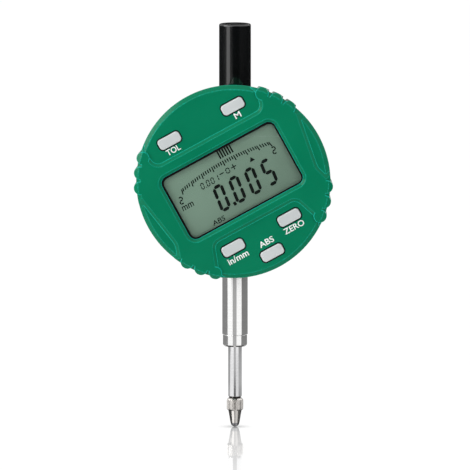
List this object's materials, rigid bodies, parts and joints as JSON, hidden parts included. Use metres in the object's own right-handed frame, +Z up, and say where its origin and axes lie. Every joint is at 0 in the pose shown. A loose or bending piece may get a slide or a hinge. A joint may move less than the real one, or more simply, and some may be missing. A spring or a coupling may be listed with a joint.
{
  "type": "digital indicator",
  "caption": "Digital plunger indicator: round rotating display head with keys, clamping stem, sprung spindle with ball contact, screw cap and lug back.",
  "frame": {"origin": "on the spindle's axis, at the middle of the stem's 19 mm clamping length", "axes": "+Z up along the spindle towards the cap, -Y towards the reader of the display, +X to the reader's right"},
  "size_m": [0.0625, 0.0399, 0.1277],
  "materials": {
    "housing_green": "moulded green, satin gloss",
    "case_paint": "fine black paint on die-cast alloy",
    "back_plastic": "black moulded plastic",
    "window_clear": "clear window",
    "display_glass": "grey-green reflective display",
    "frame_plastic": "black plastic frame",
    "strip_rubber": "layered elastomer",
    "board_green": "circuit board",
    "chip_black": "moulded chip",
    "socket_plastic": "ivory connector",
    "switch_plastic": "switch body",
    "plunger_plastic": "switch button",
    "key_grey": "light grey key",
    "battery_can": "nickel-plated cell",
    "spring_steel": "spring steel",
    "screw_steel": "zinc-plated screw",
    "fitting_steel": "turned steel",
    "stem_steel": "ground and polished steel",
    "spindle_steel": "hard polished steel",
    "contact_steel": "turned steel, knurled collar",
    "ball_carbide": "polished carbide ball",
    "bush_brass": "turned brass",
    "cap_black": "black anodised screw cap",
    "seal_rubber": "black rubber",
    "cable_sheath": "thin cable sheath",
    "guide_plastic": "white guide rail",
    "carrier_alloy": "milled alloy",
    "scale_glass": "scale strip"
  },
  "bodies": {
    "case": {"rear_case": "case_paint", "back_gasket": "seal_rubber", "back_cover": "case_paint", "back_screws": "screw_steel", "stem": "stem_steel", "stem_bush": "stem_steel", "upper_bush": "bush_brass", "spindle_cap": "cap_black", "hub_retainer": "fitting_steel", "retainer_screws": "screw_steel", "friction_washer": "spring_steel", "stop_pin": "fitting_steel", "signal_cable": "cable_sheath", "sensor_board": "board_green", "guide_rail": "guide_plastic", "rail_screws": "screw_steel", "lower_buffer": "seal_rubber", "return_spring": "spring_steel"},
    "head": {"front_housing": "housing_green", "window_lens": "window_clear", "lcd_panel": "display_glass", "lcd_frame": "frame_plastic", "contact_strips": "strip_rubber", "main_board": "board_green", "driver_chip": "chip_black", "cable_socket": "socket_plastic", "switch_bodies": "switch_plastic", "battery_contacts": "spring_steel", "head_back": "back_plastic", "head_screws": "screw_steel"},
    "spindle": {"spindle": "spindle_steel", "contact_point": "contact_steel", "contact_ball": "ball_carbide", "scale_carrier": "carrier_alloy", "carrier_screw": "screw_steel", "scale_strip": "scale_glass", "guide_pin": "fitting_steel"},
    "battery_drawer": {"battery_drawer": "back_plastic", "battery": "battery_can"},
    "key_tol": {"key_tol": "key_grey", "plunger_tol": "plunger_plastic"},
    "key_m": {"key_m": "key_grey", "plunger_m": "plunger_plastic"},
    "key_unit": {"key_unit": "key_grey", "plunger_unit": "plunger_plastic"},
    "key_abs": {"key_abs": "key_grey", "plunger_abs": "plunger_plastic"},
    "key_zero": {"key_zero": "key_grey", "plunger_zero": "plunger_plastic"}
  },
  "joints": [
    {"name": "spindle_slide", "type": "slide", "parent": "case", "child": "spindle", "axis": [0, 0, 1], "range_m": [0, 0.0127], "stiffness_N_per_m": 40, "springref_m": -0.02, "deforming": ["return_spring"]},
    {"name": "head_turn", "type": "hinge", "parent": "case", "child": "head", "pos_m": [0, 0, 0.0405], "axis": [0, -1, 0], "range_deg": [-188.8, 131.2]},
    {"name": "drawer_slide", "type": "slide", "parent": "head", "child": "battery_drawer", "axis": [0.4818, 0, -0.8763], "range_m": [0, 0.024]},
    {"name": "press_tol", "type": "slide", "parent": "head", "child": "key_tol", "axis": [0, 1, 0], "range_m": [0, 0.0003], "stiffness_N_per_m": 3000, "springref_m": -0.0002},
    {"name": "press_m", "type": "slide", "parent": "head", "child": "key_m", "axis": [0, 1, 0], "range_m": [0, 0.0003], "stiffness_N_per_m": 3000, "springref_m": -0.0002},
    {"name": "press_unit", "type": "slide", "parent": "head", "child": "key_unit", "axis": [0, 1, 0], "range_m": [0, 0.0003], "stiffness_N_per_m": 3000, "springref_m": -0.0002},
    {"name": "press_abs", "type": "slide", "parent": "head", "child": "key_abs", "axis": [0, 1, 0], "range_m": [0, 0.0003], "stiffness_N_per_m": 3000, "springref_m": -0.0002},
    {"name": "press_zero", "type": "slide", "parent": "head", "child": "key_zero", "axis": [0, 1, 0], "range_m": [0, 0.0003], "stiffness_N_per_m": 3000, "springref_m": -0.0002}
  ]
}
